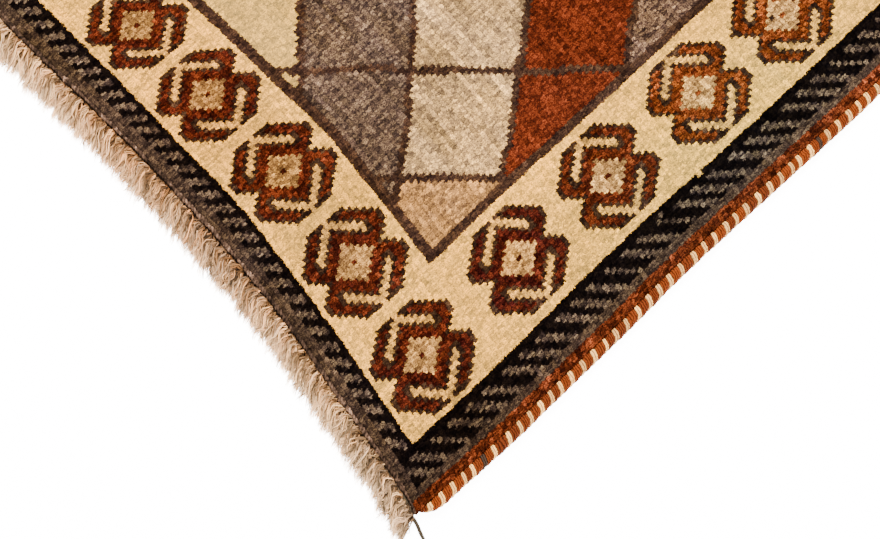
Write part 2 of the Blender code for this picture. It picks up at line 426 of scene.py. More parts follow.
def lattice(column, row):
    """The field's slanting coordinates: i counts half lozenges across and k
    half lozenges along, from the first crossing on the field's near side."""
    steps = np.array(CROSSINGS, float)
    i = np.interp(column, steps[:, 0], steps[:, 1])
    # Rows to a half lozenge: fewer before the first crossing, and in one patch
    squeezed = ease(66, 82, column) * (1 - ease(100, 116, column)) * (1 - ease(62, 74, row))
    tall = np.where(row < FIRST_ROW, 15.0, 16.4 - 2.4 * squeezed)
    return i, (row - FIRST_ROW) / tall


def weave_plan():
    """Which wool each knot has, and how its dye strays within a rosette."""
    row, column = np.mgrid[0:ROWS, 0:KNOTS]
    side = np.minimum(column, KNOTS - 1 - column)
    end = np.minimum(row, ROWS - 1 - row)
    plan = np.full((ROWS, KNOTS), INDEX["cream"])
    dye = np.zeros((ROWS, KNOTS))

    # Field of lozenges between dark slanting lines, five colours in turn
    i, k = lattice(column + 0.5, row + 0.5)
    steps = np.floor((i - k) / 2).astype(int) % len(FIELD_ORDER)
    tones = np.array([INDEX[name] for name in FIELD_ORDER])[steps]
    # Nearest the photo's corner the first colour is tan instead
    tones[(steps == 0) & (i + k < 0.02) & (i < 2)] = INDEX["tan"]
    # The first slanting line stands half a knot further in
    further = np.where(i + k < 1, 0.034, 0)
    half_line = 0.066
    on_line = np.abs((i - k + 1) % 2 - 1) < half_line
    on_line |= np.abs((i + k - further + 1) % 2 - 1) < half_line
    tones[on_line] = INDEX["line"]
    field = (side >= SIDE_BANDS["line"]) & (end >= END_BANDS["line"])
    plan[field] = tones[field]

    # The field's own line, two knots all round
    ring = (side >= SIDE_BANDS["cream"]) & (end >= END_BANDS["cream"]) & ~field
    plan[ring] = INDEX["line"]

    # Black line and the slanting teeth, along the ends and then the sides
    inner = side >= SIDE_BANDS["black"]
    plan[inner & (end < END_BANDS["black"])] = INDEX["black"]
    across = np.where(row < ROWS / 2, column + row, column - row + ROWS)
    teeth = inner & (end >= END_BANDS["grey"]) & (end < END_BANDS["teeth"])
    plan[teeth & (across % 4 < 2)] = INDEX["tooth"]
    plan[inner & (end < END_BANDS["grey"])] = INDEX["grey"]
    plan[~inner] = INDEX["black"]
    lean = np.where(column < KNOTS / 2, side, -side)
    bars = ((row + lean + 0.2) / 4.31) % 1 < 0.42
    teeth = (side >= SIDE_BANDS["grey"]) & (side < SIDE_BANDS["teeth"])
    plan[teeth & bars] = INDEX["tooth"]
    plan[~inner & ((side < SIDE_BANDS["grey"]) | (end < END_BANDS["grey"]))] = INDEX["grey"]
    plan[side < SIDE_BANDS["rust"]] = INDEX["rust_edge"]

    # Rosettes along both sides and both ends
    high, wide = len(ROSETTE), len(ROSETTE[0])
    near = SIDE_BANDS["black"] + 2
    far = KNOTS - near - wide + 1
    for start, drop, warmth, pale in SIDE_ROSETTES:
        stamp(plan, dye, start, near, drop, warmth, pale)
        stamp(plan, dye, start, far, drop, 0.7 - 0.6 * warmth, -pale)
    for start, first, drop, warmth, pale in END_ROSETTES:
        stamp(plan, dye, first, start, drop, warmth, pale)
        stamp(plan, dye, ROWS - high - first, start, drop, 0.5 - warmth, -pale)
    for at_row, at_column, name in SLIPS:
        plan[at_row, at_column] = INDEX[name]
    return plan, dye


def patches(rng, rows, columns, shape):
    """Soft random patches: a coarse random grid drawn out smoothly to the
    knots' grid, going through each coarse value along a cosine."""
    coarse = rng.standard_normal((rows + 1, columns + 1))
    r = np.linspace(0, rows, shape[0], endpoint=False)
    c = np.linspace(0, columns, shape[1], endpoint=False)
    r0, c0 = r.astype(int), c.astype(int)
    fr = (0.5 - 0.5 * np.cos(np.pi * (r - r0)))[:, None]
    fc = (0.5 - 0.5 * np.cos(np.pi * (c - c0)))[None, :]
    low = coarse[r0][:, c0] * (1 - fc) + coarse[r0][:, c0 + 1] * fc
    high = coarse[r0 + 1][:, c0] * (1 - fc) + coarse[r0 + 1][:, c0 + 1] * fc
    return low * (1 - fr) + high * fr


# Random numbers set aside for the rosettes' rust knots, at least one for each
# knot, so that a change to a rosette leaves the streaks of the field alone
RUST_DRAWS = 5996


def knot_colours(plan, dye):
    """Each knot's colour: its wool, made lighter or darker by its own dye and
    by streaks along the rows where the yarn changed, and warmed in patches."""
    rng = np.random.default_rng(7)
    shape = plan.shape
    base = wool_light([WOOLS[name][0] for name in NAMES])
    knot, streak, contrast = (
        np.array([WOOLS[name][k] for name in NAMES])[plan] for k in (1, 2, 3)
    )
    colour = base[plan]
    rusty = plan == INDEX["rust_dark"]
    share = dye[rusty][:, None] + 0.20 * rng.standard_normal((RUST_DRAWS, 1))[: rusty.sum()]
    dark, bright = base[INDEX["rust_dark"]], base[INDEX["rust_orange"]]
    colour[rusty] = dark * (bright / dark) ** share.clip(-1.0, 1.3)
    centre = plan == INDEX["centre"]
    colour[centre] *= np.exp(dye[centre])[:, None]
    runs = patches(rng, ROWS, 24, shape) + 0.7 * patches(rng, ROWS // 3, 10, shape)
    stray = knot * rng.standard_normal(shape) + 0.8 * streak * runs
    stray += 0.25 * streak * patches(rng, 26, 18, shape)
    at_row, at_column = np.mgrid[0:ROWS, 0:KNOTS]
    cooler = np.zeros(shape)
    for row, column, tall, wide, more, cool in DYES:
        near = np.exp(-(((at_row - row) / tall) ** 2) - ((at_column - column) / wide) ** 2)
        stray += more * near
        cooler += cool * near
    warm = patches(rng, 60, 30, shape) + 0.6 * patches(rng, ROWS, 14, shape)
    tint = 1 + 0.028 * warm[..., None] * np.array((0.5, 0.0, -1.8))
    # Pale wool darkens towards brown: its red falls furthest
    skew = 1 + ease(0.10, 0.25, colour[..., 1:2]) * np.array((0.20, 0.05, -0.35))
    tint = tint * np.exp(cooler[..., None] * np.array((-0.22, 0.0, 0.16)))
    colour = limited(colour * np.exp(stray[..., None] * skew) * tint)
    return np.concatenate([colour, contrast[..., None]], axis=-1)


# Meshes


def piece(name, points, faces, look, uv=None, faces_colour=(), points_colour=()):
    """An object from its points and faces, with its maps and its material."""
    mesh = bpy.data.meshes.new(name)
    mesh.from_pydata(points, [], faces)
    mesh.polygons.foreach_set("use_smooth", np.ones(len(mesh.polygons), bool))
    corner = np.zeros(len(mesh.loops), np.int32)
    mesh.loops.foreach_get("vertex_index", corner)
    if uv is not None:
        layer = mesh.uv_layers.new(name="knots")
        layer.data.foreach_set("uv", np.asarray(uv, np.float32)[corner].ravel())
    for domain, colours in (("FACE", faces_colour), ("POINT", points_colour)):
        for key, values in dict(colours).items():
            made = mesh.attributes.new(key, "FLOAT_COLOR", domain)
            full = np.ones((len(values), 4), np.float32)
            full[:, : len(values[0])] = values
            made.data.foreach_set("color", full.ravel())
    mesh.materials.append(look)
    made = bpy.data.objects.new(name, mesh)
    bpy.context.collection.objects.link(made)
    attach(made, "root")
    return made


def grid_faces(high, wide, round_it=False):
    """Faces of a grid of points, closed across its rows if round_it."""
    index = np.arange(high * wide).reshape(high, wide)
    if round_it:
        index = np.concatenate([index, index[:, :1]], axis=1)
    a, b = index[:-1, :-1], index[:-1, 1:]
    c, d = index[1:, 1:], index[1:, :-1]
    return np.stack([a, b, c, d], axis=-1).reshape(-1, 4)


def rod(name, points, turned, look, wool=None, uv=None):
    """A closed piece through rings of points, with a face at each end; turned
    where the rings run anticlockwise as seen along the run."""
    count, around = points.shape[:2]
    faces = grid_faces(count, around, True)
    first, last = tuple(range(around)), tuple(range((count - 1) * around, count * around))
    if turned:
        faces, last = faces[:, ::-1], last[::-1]
    else:
        first = first[::-1]
    maps = {} if wool is None else {"wool": wool.reshape(-1, 3)}
    uv = None if uv is None else uv.reshape(-1, 2)
    closed = faces.tolist() + [first, last]
    return piece(name, points.reshape(-1, 3), closed, look, uv, (), maps)


def rings(x, y, z):
    """Rings of points from their coordinates, each spread to the same shape."""
    return np.stack(np.broadcast_arrays(x, y, z), -1)


def circle(around):
    """The angles of the points round a ring."""
    return 2 * np.pi * np.arange(around) / around


# The pile's wall as rounds of points outside its top: outward, height
WALL = ((0.0003, 0.0071), (0.0006, 0.0045), (0.0002, 0.0012), (-0.0016, 0.0003))


def make_pile(colours, look):
    """The pile's top as one face to a knot, and its walls as rounds of points
    carried outward and down from the top's edge."""
    rng = np.random.default_rng(11)
    rounds = len(WALL)
    row, column = np.mgrid[-rounds : ROWS + rounds + 1, -rounds : KNOTS + rounds + 1]
    out_row = np.where(row < 0, row, np.where(row > ROWS, row - ROWS, 0))
    out_column = np.where(column < 0, column, np.where(column > KNOTS, column - KNOTS, 0))
    inside_row, inside_column = row - out_row, column - out_column
    edge = np.minimum(
        np.minimum(inside_row, ROWS - inside_row),
        np.minimum(inside_column, KNOTS - inside_column),
    )
    loose = 0.13 * np.minimum(edge, 1)
    shift = rng.uniform(-1, 1, (2,) + row.shape) * loose
    x, y = place(inside_column + shift[0], inside_row + shift[1])
    rough = rng.uniform(-1, 1, row.shape)
    z = PILE_THICK - 0.0005 + 0.0003 * rough
    z -= np.interp(edge, (0, 1, 2.5), (0.0011, 0.0003, 0))
    steps = np.array(((0.0, 0.0),) + WALL)
    depth = np.maximum(np.abs(out_row), np.abs(out_column))
    z = np.where(depth > 0, steps[depth, 1], z)
    woolly = np.where((depth > 0) & (depth < rounds), 0.0003 * rough, 0)
    x -= np.sign(out_column) * (steps[np.abs(out_column), 0] + woolly)
    y += np.sign(out_row) * (steps[np.abs(out_row), 0] + woolly)

    def spread(shift_row, shift_column):
        """The colours of the knots a step away, the edge knots carried on."""
        r = np.clip(np.arange(-rounds, ROWS + rounds) + shift_row, 0, ROWS - 1)
        c = np.clip(np.arange(-rounds, KNOTS + rounds) + shift_column, 0, KNOTS - 1)
        return colours[r][:, c].reshape(-1, 4)

    maps = {
        "own": spread(0, 0),
        "after": spread(0, 1),
        "before": spread(0, -1),
        "above": spread(1, 0),
        "below": spread(-1, 0),
    }
    faces = grid_faces(*row.shape)[:, ::-1]
    return piece("pile_knots", rings(x, y, z).reshape(-1, 3), faces, look,
                 np.stack([column, row], -1).reshape(-1, 2), maps)


def make_back(colours, look):
    """The woven back, facing down, a face to four knots."""
    row, column = np.mgrid[0 : ROWS + 1 : 2, 0 : KNOTS + 1 : 2]
    row = np.minimum(row, ROWS)
    x, y = place(column, row)
    inward, level = 0.0012, 0.0007
    x = np.where(column == 0, x - inward, np.where(column == KNOTS, x + inward, x))
    y[0] += inward
    y[-1] -= inward
    half = colours[::2, ::2][: row.shape[0] - 1, : row.shape[1] - 1].reshape(-1, 4)
    return piece("woven_back", rings(x, y, level).reshape(-1, 3), grid_faces(*row.shape),
                 look, np.stack([column, row], -1).reshape(-1, 2), {"own": half})


def tube(centre, reach, sides):
    """Rings of points about a path: to the path's point is added reach times
    the cosine along the level direction across the path, and reach times the
    sine along the direction above it, for each angle of the circle."""
    ahead = np.gradient(centre, axis=-2)
    across = np.cross(ahead, (0.0, 0.0, 1.0))
    across /= np.linalg.norm(across, axis=-1, keepdims=True) + 1e-12
    above = np.cross(across, ahead)
    above /= np.linalg.norm(above, axis=-1, keepdims=True) + 1e-12
    angle = circle(sides)
    c = np.cos(angle)[:, None] * reach[..., None, None]
    s = np.sin(angle)[:, None] * reach[..., None, None]
    return centre[..., None, :] + c * across[..., None, :] + s * above[..., None, :]


def bands(rng, length):
    """Where the wrapped bands of a cord begin: rust and cream in turn."""
    pairs = int(length / 0.0085)
    widths = np.empty(2 * pairs)
    widths[0::2] = 0.0064 * (1 + 0.16 * rng.standard_normal(pairs)).clip(0.6, 1.5)
    widths[1::2] = 0.0032 * (1 + 0.14 * rng.standard_normal(pairs)).clip(0.6, 1.5)
    return np.concatenate([[0], np.cumsum(widths)])


def make_overcast(name, hand, look, seed):
    """The overcast cord: a flattened round section carried along the side,
    swelling within each slanting band of wraps and tight between them, its
    ends rounded off as quarter circles and drawn in beside the pile."""
    rng = np.random.default_rng(seed)
    edge = 0 if hand > 0 else PILE_WIDTH
    low = end_edge(edge, -1)[1] - MOVED[1] + 0.0016
    high = end_edge(edge, 1)[1] - MOVED[1] - 0.0030
    count, around = 2400, 14
    y = np.linspace(low, high, count)
    rounding, drawn_in = 0.016, 0.0042
    start = np.clip((y - low) / rounding, 0, 1)
    stop = np.clip((high - y) / rounding, 0, 1)
    tip = np.sqrt(1 - (1 - start) ** 2) * np.sqrt(1 - (1 - stop) ** 2)
    tip = np.maximum(tip, 0.05)
    middle = side_line(y, hand) + hand * (CORD_WIDTH / 2 - GAP)
    middle -= hand * drawn_in * ((1 - start) ** 2 + (1 - stop) ** 2)
    angle = circle(around)
    c, s = np.cos(angle), np.sin(angle)
    across = np.sign(c) * np.abs(c) ** 0.9 * (CORD_WIDTH / 2 + 0.0006)
    up = np.sign(s) * np.abs(s) ** 0.9 * (CORD_HEIGHT / 2 + 0.0001)
    # The band at a point: along the cord, and in a curve outward
    girth = 0.0125
    round_it = (angle - np.pi / 2 + np.pi) % (2 * np.pi) - np.pi
    arc = np.interp(round_it, (-np.pi, np.pi), (1, -1)) * girth
    begins = bands(rng, high - low + 0.06)
    along = (y - low)[:, None] + 0.02 + 0.35 * arc[None, :] + 45 * arc[None, :] ** 2
    band = np.interp(along, begins, np.arange(len(begins)))
    inner = band % 1
    ridges = 4.0 - 2.0 * (np.floor(band) % 2)
    swell = 0.75 + 0.23 * np.sin(np.pi * inner) ** 0.6
    swell += 0.07 * np.abs(np.sin(np.pi * inner * ridges))
    lumps = 1 + 0.03 * np.interp(y, np.linspace(low, high, 200), rng.standard_normal(200))
    size = (tip * lumps)[:, None] * swell
    x = middle[:, None] + hand * across[None, :] * size
    z = np.maximum(CORD_HEIGHT / 2 + up[None, :] * size, 0.00015)
    points = rings(x + MOVED[0], y[:, None] + MOVED[1], z)
    uv = np.stack(np.broadcast_arrays(band, arc / girth), -1)
    return rod(name, points, hand > 0, look, uv=uv)


def make_twine(name, hand, look, seed):
    """The twined line beside the pile's end: two strands turning about each
    other, as a round section whose reach follows |cos| of the angle round it
    less the turn."""
    rng = np.random.default_rng(seed)
    count, around = 1400, 8
    across = np.linspace(0.0004, PILE_WIDTH - 0.0004, count)
    x, y = end_edge(across, hand)

    def wander(every):
        """A random line along the end, drawn from point to point."""
        knots = np.arange(0, PILE_WIDTH + every, every)
        return np.interp(across, knots, rng.standard_normal(len(knots)))

    y = y + hand * (0.0009 + 0.00022 * wander(0.007) + 0.0002 * wander(0.03))
    z = 0.0070 + 0.0003 * wander(0.009)
    size = 0.00105 * (1 + 0.24 * wander(0.004))
    pitch = 0.0052
    turn = 2 * np.pi * (across / pitch + 0.12 * wander(0.012))
    angle = circle(around)
    reach = size[:, None] * (0.66 + 0.48 * np.abs(np.cos(angle - turn[:, None])))
    out, up = 1.45 * np.cos(angle) * reach, 0.8 * np.sin(angle) * reach
    points = rings(x[:, None], y[:, None] + hand * out, z[:, None] + up)
    # Painted shade in the groove between the two strands; the speckle is the wool's own random
    # tone
    painted_groove_shade = 0.35 + 0.85 * np.abs(np.cos(angle - turn[:, None])) ** 0.8
    shade = np.exp(0.62 * wander(0.0017) + 0.30 * wander(0.025) - 0.12)[:, None] * painted_groove_shade
    return rod(name, points, hand > 0, look, wool_light((154, 121, 98)) * shade[..., None])


def make_end_band(name, hand, look, seed):
    """The narrow woven end that the fringe hangs from: a low ridge along the
    pile's end, ribbed by the warps that cross it."""
    rng = np.random.default_rng(seed)
    count, around = 900, 8
    across = np.linspace(0.0003, PILE_WIDTH - 0.0003, count)
    x, y = end_edge(across, hand)
    angle = circle(around)
    pitch = 0.0030
    rib = 1 + 0.07 * np.sin(2 * np.pi * across / pitch) + 0.05 * rng.standard_normal(count)
    out, up = 0.0027 * np.cos(angle) * rib[:, None], 0.0024 * np.sin(angle) * rib[:, None]
    points = rings(x[:, None], y[:, None] + hand * (0.0021 + out), 0.0027 + up)
    shade = np.exp(0.25 * rng.standard_normal((count, 1, 1))) * np.ones((1, around, 1))
    return rod(name, points, hand > 0, look, wool_light((74, 56, 46)) * shade)


# Fringe tones along an end: distance from the +X side, how grey, how pale
FRINGE_TONES = (
    (0.00, 0.95, 0.20),
    (0.05, 0.75, 0.30),
    (0.08, 0.30, 0.45),
    (0.14, 0.25, 0.34),
    (0.19, 0.62, 0.00),
    (0.24, 0.50, 0.00),
    (0.31, 0.15, 0.18),
    (0.38, 0.25, 0.45),
    (0.46, 0.50, 0.45),
    (0.56, 0.70, 0.40),
    (0.66, 0.30, 0.50),
    (0.80, 0.60, 0.40),
)


def wool_tone(rng, across, curl=None):
    """A strand's colour from the zone that it grows in, its own stray and,
    where it has one, its curl's."""
    stray = rng.standard_normal((2,) + across.shape)
    if curl is not None:
        stray = 0.4 * stray + 1.2 * rng.standard_normal((2, curl.max() + 1))[:, curl]
    grey = np.clip(read(FRINGE_TONES, across, 1) + 0.28 * stray[0], 0, 1)[..., None]
    pale = np.clip(read(FRINGE_TONES, across, 2) + 0.30 * stray[1], 0, 1)[..., None]
    tan, mauve, ivory = wool_light(TAN), wool_light(MAUVE), wool_light(IVORY)
    colour = tan * (mauve / tan) ** grey
    return colour * (ivory / colour) ** (0.8 * pale)


def wisps(rng, hand, lean, count, locks, steps):
    """Paths of single strands along an end, gathered three curls to a lock. A
    curl starts in the furrow, arches over, leans with its lock and draws in
    towards the lock's tip; it waves at its own pace, and nearly half turn a
    loop near the root. Returns the paths, where each one starts, its curl, and
    its share of the way from the curl's middle to its edge."""
    # The fewer locks there are, the further they stray
    wild = 200 / locks
    t = np.linspace(0, 1, steps)[None, :]
    at = (np.arange(locks) + 0.5) / locks * PILE_WIDTH
    at += rng.uniform(-0.0014, 0.0014, locks)
    # What each lock has of its own: length, lean, bend, height and width
    slow = np.interp(at, np.linspace(0, PILE_WIDTH, 46), rng.standard_normal(46))
    length = 0.0212 * (1 + 0.08 * wild * rng.standard_normal(locks)).clip(0.80, 1.16)
    tilt = lean * (1 + 0.30 * slow) + 0.13 * wild * rng.standard_normal(locks)
    bend = 0.0016 * wild * rng.standard_normal(locks)
    phase = rng.uniform(0, 2 * np.pi, locks)
    rise = 0.0036 + 0.0013 * rng.standard_normal(locks).clip(-1.2, 1.6)
    wide = 0.0030 * rng.uniform(0.75, 1.25, locks)
    # What each curl has of its own: its waves, its loop, its height and length
    curls = 3 * locks
    pace = rng.uniform(6.0, 13.0, curls)
    start = rng.uniform(0, 2 * np.pi, curls)
    wave = rng.uniform(0.0006, 0.0022, curls)
    loop = 0.0024 * (rng.random(curls) < 0.45) * rng.uniform(0.5, 1, curls)
    over = rng.uniform(0, 0.0016, curls)
    reach = rng.uniform(0.78, 1.06, curls)
    curl = rng.integers(0, curls, count)
    lock = curl // 3

    def own(values, number=lock):
        """Each strand's value from its lock, or from its curl."""
        return values[number][:, None]

    # What each strand has of its own
    within = rng.uniform(-1, 1, (count, 1))
    side = 0.66 * (curl[:, None] % 3 - 1) + 0.30 * within
    share = own(reach, curl) * rng.uniform(0.55, 1.0, (count, 1)) ** 0.5
    start = own(start, curl) + 0.35 * rng.standard_normal((count, 1))
    wave = own(wave, curl) * rng.uniform(0.8, 1.2, (count, 1))
    pace, loop = own(pace, curl), own(loop, curl) * rng.uniform(0.75, 1.1, (count, 1))
    root_x, root_y = end_edge(
        np.clip(at[lock] + 0.0022 * side[:, 0], 0.0006, PILE_WIDTH - 0.0006), hand
    )
    far = own(length) * share * t
    close = own(wide) * side * (0.4 + 0.6 * np.sin(np.pi * (0.25 + 0.75 * t)))
    swing = wave * (np.sin(start + pace * t) - np.sin(start)) * np.minimum(1, 3 * t)
    swing += 0.0009 * (np.sin(own(phase) + 5.5 * t) - np.sin(own(phase))) * t
    turn = 2 * np.pi * np.minimum(1, t / 0.55)
    x = root_x[:, None] + own(tilt) * far + close + swing + own(bend) * t**2
    x += loop * np.sin(turn)
    y = root_y[:, None] + hand * (FURROW + far - 0.7 * loop * (1 - np.cos(turn)))
    arch = np.sin(np.pi * np.minimum(1, 1.10 * t + 0.16)) ** 0.8
    up = own(over, curl) + 0.0006 * (1 - within**2)
    z = 0.0014 + (own(rise) + up) * (0.25 + 0.75 * arch) * (1 - 0.78 * t)
    z += 0.5 * np.abs(swing) + 0.6 * loop * (1 - np.cos(turn)) * (1 - t)
    return np.stack([x, y, z], -1), at[lock], curl, np.abs(within[:, 0])


# The matted layer's section: outward from the furrow, height
MAT = (
    (0.0006, 0.0006),
    (0.0008, 0.0022),
    (0.0024, 0.0040),
    (0.0055, 0.0044),
    (0.0095, 0.0037),
    (0.0135, 0.0027),
    (0.0170, 0.0018),
    (0.0205, 0.0009),
    (0.0222, 0.0004),
    (0.0205, 0.0002),
    (0.0100, 0.0002),
)


def make_mat(name, hand, lean, look, seed):
    """The matted wool under the loose strands: a low closed section carried
    along an end and leaning with the strands. Its height is cut by grooves
    between locks, |sin(pi n)| in the lock's number n, and its colour is the
    lock's own, with painted shade at the furrow and in the grooves between
    locks, and painted light that pales it toward its outer edge."""
    rng = np.random.default_rng(seed)
    across = np.linspace(0.0006, PILE_WIDTH - 0.0006, 1200)[:, None]
    out, high = np.array(MAT).T
    whole = out.max()
    lock_number = np.cumsum(rng.uniform(0.6, 1.4, 320))
    ends = np.linspace(-0.02, PILE_WIDTH + 0.02, 321)[1:]
    n = np.interp(across + 0.1 * out, ends, lock_number - lock_number[0])
    number = np.floor(n).astype(int)
    ridge = np.abs(np.sin(np.pi * n)) ** 0.6
    longer = (1 + 0.06 * rng.standard_normal(400))[number % 400]
    x, y = end_edge(across, hand)
    far = out * np.where(out > 0.010, longer, 1)
    z = np.where(high > 0.0005, high * (0.45 + 0.55 * ridge), high)
    points = rings(x + lean * far, y + hand * (FURROW + far), z)
    tones = wool_tone(rng, np.linspace(0, PILE_WIDTH, 400))
    # Painted shade: darkest deep in the furrow, full colour outward
    dark = np.interp(out, (0.0, 0.0012, 0.004, 0.012, 0.022), (0.12, 0.25, 0.50, 0.78, 1.0))
    unlike = np.exp(0.16 * rng.standard_normal(400))[number % 400]
    tone = tones[(across / PILE_WIDTH * 399).astype(int)]
    # Painted shade in the grooves between locks, times each lock's random tone
    tone = tone * (dark * (0.30 + 0.70 * ridge) * unlike)[..., None]
    # Painted light: paler toward the outer edge, where the strands' tips lie
    tone = tone + (wool_light(LIT_TIPS) - tone) * 0.6 * (out[:, None] / whole) ** 1.5
    uv = np.stack(np.broadcast_arrays(across * 1000, out / whole), -1)
    return rod(name, points, hand < 0, look, limited(tone), uv)


def make_fringe(name, hand, lean, look, seed, count, locks, size, light):
    """Wool strands along an end as thin tubes on their paths, with painted
    shade darkest at the root in the furrow and at the edges of a curl, and
    painted light that makes them palest at the tip, where they thin to a
    hair. Light is how much reaches the layer, 1 for the top."""
    rng = np.random.default_rng(seed)
    steps, sides = 9, 3
    t = np.linspace(0, 1, steps)
    paths, at, curl, aside = wisps(rng, hand, lean, count, locks, steps)
    thin = np.interp(t, (0, 0.12, 0.75, 1), (0.8, 1.15, 1.0, 0.3))
    radius = size * rng.uniform(0.7, 1.4, (count, 1)) * thin
    paths[..., 2] = np.maximum(paths[..., 2], radius + 0.0002)
    points = tube(paths, radius, sides)
    # Painted shade at the root, deep in the furrow, and painted light toward the tip
    along = np.interp(t, (0, 0.10, 0.30, 0.70, 1), (0.10, 0.36, 0.85, 1.12, 1.30))
    tone = wool_tone(rng, at, curl)[:, None, None, :] * along[None, :, None, None]
    unlike = 0.16 * rng.standard_normal(count) + 0.52 * rng.standard_normal(3 * locks)[curl]
    # Painted shade at the edges of each curl, so that the curl reads as round
    unlike += 0.14 - 1.40 * aside**2
    # Painted light: paler toward the tips, the more where the zone is pale
    zone = 0.30 + read(FRINGE_TONES, at, 2)
    tip_light = zone[:, None, None, None] * t[None, :, None, None] ** 1.3
    tone = tone + (wool_light(LIT_TIPS) - tone) * tip_light
    tone = tone * light * np.exp(unlike)[:, None, None, None]
    tone = limited(np.broadcast_to(tone, points.shape).reshape(-1, 3))
    one = grid_faces(steps, sides, True)[:, ::-1]
    starts = np.arange(count)[:, None, None] * steps * sides
    faces = (one[None] + starts).reshape(-1, 4).tolist()
    first = np.arange(sides)[None] + starts[:, 0]
    last = ((steps - 1) * sides + np.arange(sides)[::-1])[None] + starts[:, 0]
    return piece(name, points.reshape(-1, 3), faces + first.tolist() + last.tolist(),
                 look, None, (), {"wool": tone})


# The dark thread in the near furrow and past the corner: from the +X side
# along the end, outward from the pile's edge, height
THREAD = (
    (-0.0156, 0.0074, 0.0012),
    (-0.0110, 0.0062, 0.0014),
    (-0.0064, 0.0046, 0.0024),
    (-0.0020, 0.0036, 0.0044),
    (0.0040, 0.0032, 0.0058),
    (0.0140, 0.0031, 0.0058),
    (0.0300, 0.0031, 0.0050),
)


def make_thread(look):
    """The loose thread: a thin round section along its route, which wanders
    a little in the furrow and runs out past the corner."""
    rng = np.random.default_rng(31)
    knots = np.array(THREAD)
    far = np.arange(0.045, PILE_WIDTH - 0.004, 0.006)
    rest = np.stack([far, 0.0031 + 0.00025 * rng.standard_normal(len(far)),
                     0.0040 + 0.0003 * rng.standard_normal(len(far))], -1)
    knots = np.concatenate([knots, rest])
    steps = np.arange(len(knots))
    fine = np.linspace(0, len(knots) - 1, 5 * len(knots))
    across, out, z = (read(np.stack([steps, knots[:, k]], -1), fine) for k in range(3))
    x, y = end_edge(np.clip(across, 0, PILE_WIDTH), -1)
    x = x - np.minimum(across, 0)
    centre = np.stack([x, y - out, z], -1)
    size = np.interp(fine, (0, 1, 3, 6, 14), (0.0010, 0.0012, 0.0012, 0.0010, 0.00045))
    points = tube(centre, size, 6)
    tone = np.broadcast_to(wool_light((112, 94, 72)), points.shape)
    return rod("furrow_thread", points, True, look, tone)


# Materials


def put(tree, kind, inputs=(), **settings):
    """A node with its settings; inputs hold values, or sockets to link."""
    made = tree.nodes.new("ShaderNode" + kind)
    for key, value in settings.items():
        setattr(made, key, value)
    for key, value in dict(inputs).items():
        if isinstance(value, bpy.types.NodeSocket):
            tree.links.new(value, made.inputs[key])
        else:
            made.inputs[key].default_value = value
    return made


def calc(tree, operation, a, b=0.0, c=0.0):
    """One step of arithmetic on up to three values or sockets."""
    made = put(tree, "Math", {0: a, 1: b, 2: c}, operation=operation)
    return made.outputs[0]


def scaled(tree, value, low, high, to_low, to_high):
    """A value carried from one range to another, easing in and out."""
    made = put(tree, "MapRange", {"Value": value, "From Min": low, "From Max": high,
                                  "To Min": to_low, "To Max": to_high},
               interpolation_type="SMOOTHSTEP")
    return made.outputs["Result"]


def mixed(tree, factor, a, b):
    """Colour a going over to colour b by the factor."""
    made = put(tree, "Mix", {"Factor": factor, 6: a, 7: b}, data_type="RGBA")
    return made.outputs[2]


def group(name, inputs, outputs):
    """An empty shader group with its named sockets, and its two end nodes."""
    tree = bpy.data.node_groups.new(name, "ShaderNodeTree")
    for key, kind, value in inputs:
        socket = tree.interface.new_socket(key, in_out="INPUT", socket_type=kind)
        if value is not None:
            socket.default_value = value
    for key, kind in outputs:
        tree.interface.new_socket(key, in_out="OUTPUT", socket_type=kind)
    return tree, tree.nodes.new("NodeGroupInput"), tree.nodes.new("NodeGroupOutput")


def fibre_group():
    """Fine wool: stretched noise as height, and painted shade that follows it, darker where the
    height is low.
    """
    tree, inside, out = group(
        "wool_fibre",
        (
            ("Place", "NodeSocketVector", None),
            ("Fineness", "NodeSocketFloat", 1800.0),
            ("Depth", "NodeSocketFloat", 0.3),
        ),
        (("Height", "NodeSocketFloat"), ("Shade", "NodeSocketFloat")),
    )
    fine = put(tree, "TexNoise", {"Vector": inside.outputs["Place"],
                                  "Scale": inside.outputs["Fineness"],
                                  "Detail": 3.0, "Roughness": 0.65})
    height = fine.outputs["Fac"]
    dark = calc(tree, "SUBTRACT", 1.0, inside.outputs["Depth"])
    shade = calc(tree, "MULTIPLY_ADD", scaled(tree, height, 0.32, 0.62, 0.0, 1.0),
                 inside.outputs["Depth"], dark)
    tree.links.new(height, out.inputs["Height"])
    tree.links.new(shade, out.inputs["Shade"])
    return tree


